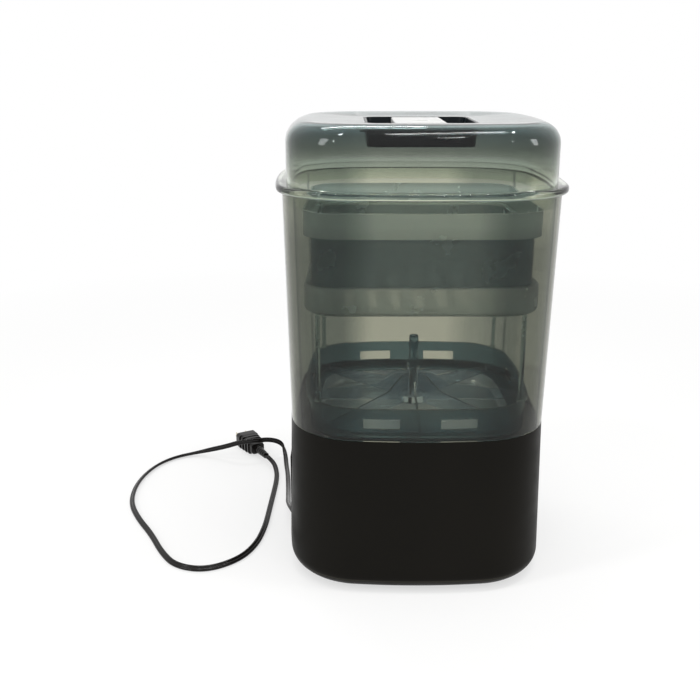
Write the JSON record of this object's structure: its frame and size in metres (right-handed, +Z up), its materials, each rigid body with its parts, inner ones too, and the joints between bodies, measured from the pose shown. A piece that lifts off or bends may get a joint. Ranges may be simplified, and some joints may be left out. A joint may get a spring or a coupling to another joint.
{
  "type": "baby bottle sterilizer",
  "caption": "Tall countertop steam sterilizer with a drying fan: black base, clear smoky sleeve and lid, bottle rack, basket and mains cord.",
  "frame": {"origin": "on the floor under the middle of the base, cord and plug not counted", "axes": "+Z up; +X out of the front, where the power button is; -X out of the rear, with the filter cover and the cord; the picture looks along +Y"},
  "size_m": [0.4603, 0.3899, 0.4385],
  "materials": {
    "black_gloss": "glossy black moulded housing",
    "smoky_clear": "clear smoky plastic, polished",
    "smoky_rack": "dark smoky translucent plastic",
    "smoky_frosted": "grey translucent plastic, satin",
    "grip_black": "black moulded plastic",
    "grip_pale": "pale grey moulded plastic",
    "inner_plastic": "dark moulded plastic",
    "steel": "brushed stainless steel",
    "heat_alloy": "cast alloy",
    "screw_steel": "zinc plated",
    "rubber_black": "soft black rubber",
    "seal_grey": "soft grey silicone",
    "filter_white": "white filter felt",
    "board_green": "lacquered circuit board",
    "parts_dark": "dark moulded components",
    "motor_steel": "motor can",
    "lens_white": "diffusing lens",
    "cord_black": "black flexible lead",
    "blade_brass": "nickelled brass"
  },
  "bodies": {
    "base": {"base_housing": "black_gloss", "bottom_cover": "black_gloss", "deck_panel": "inner_plastic", "heating_pan": "steel", "pan_seal": "seal_grey", "heater_plate": "heat_alloy", "heater_element": "heat_alloy", "heater_clamp_bar": "screw_steel", "thermostat": "parts_dark", "thermal_fuse": "parts_dark", "rubber_feet": "rubber_black", "cover_screws": "screw_steel", "deck_screws": "screw_steel", "clamp_bar_screws": "screw_steel", "fan_casing": "inner_plastic", "fan_cover": "inner_plastic", "fan_motor": "motor_steel", "fan_screws": "screw_steel", "air_duct": "inner_plastic", "duct_heater": "heat_alloy", "air_filter": "filter_white", "button_bezel": "black_gloss", "switch_board": "board_green", "switch_board_screws": "screw_steel", "indicator_lens": "lens_white", "control_board": "board_green", "board_parts": "parts_dark", "board_screws": "screw_steel", "cord_gland": "rubber_black", "cord_clamp": "inner_plastic", "inner_leads": "cord_black", "power_cord": "cord_black", "mains_plug": "cord_black", "plug_blades": "blade_brass"},
    "filter_cover": {"filter_cover": "black_gloss"},
    "button": {"power_button": "black_gloss"},
    "impeller": {"fan_impeller": "inner_plastic", "motor_shaft": "screw_steel"},
    "rack": {"bottle_rack": "smoky_rack", "rack_ribs": "smoky_rack", "rack_post": "smoky_rack"},
    "sleeve": {"sleeve": "smoky_clear"},
    "basket": {"accessory_basket": "smoky_frosted"},
    "lid": {"lid": "smoky_clear", "grip_insert": "grip_black", "grip_bar": "grip_pale"}
  },
  "joints": [
    {"name": "rack_lift", "type": "slide", "parent": "base", "child": "rack", "axis": [0, 0, 1], "range_m": [0, 0.08]},
    {"name": "sleeve_lift", "type": "slide", "parent": "rack", "child": "sleeve", "axis": [0, 0, 1], "range_m": [0, 0.12]},
    {"name": "basket_lift", "type": "slide", "parent": "sleeve", "child": "basket", "axis": [0, 0, 1], "range_m": [0, 0.13]},
    {"name": "lid_lift", "type": "slide", "parent": "basket", "child": "lid", "axis": [0, 0, 1], "range_m": [0, 0.12]},
    {"name": "button_press", "type": "slide", "parent": "base", "child": "button", "axis": [-1, 0, 0], "range_m": [0, 0.002], "stiffness_N_per_m": 1000},
    {"name": "filter_cover_pull", "type": "slide", "parent": "base", "child": "filter_cover", "axis": [-1, 0, 0], "range_m": [0, 0.03]},
    {"name": "fan_spin", "type": "hinge", "parent": "base", "child": "impeller", "pos_m": [-0.04, -0.005, 0.045], "axis": [0, 0, 1], "continuous": true}
  ]
}
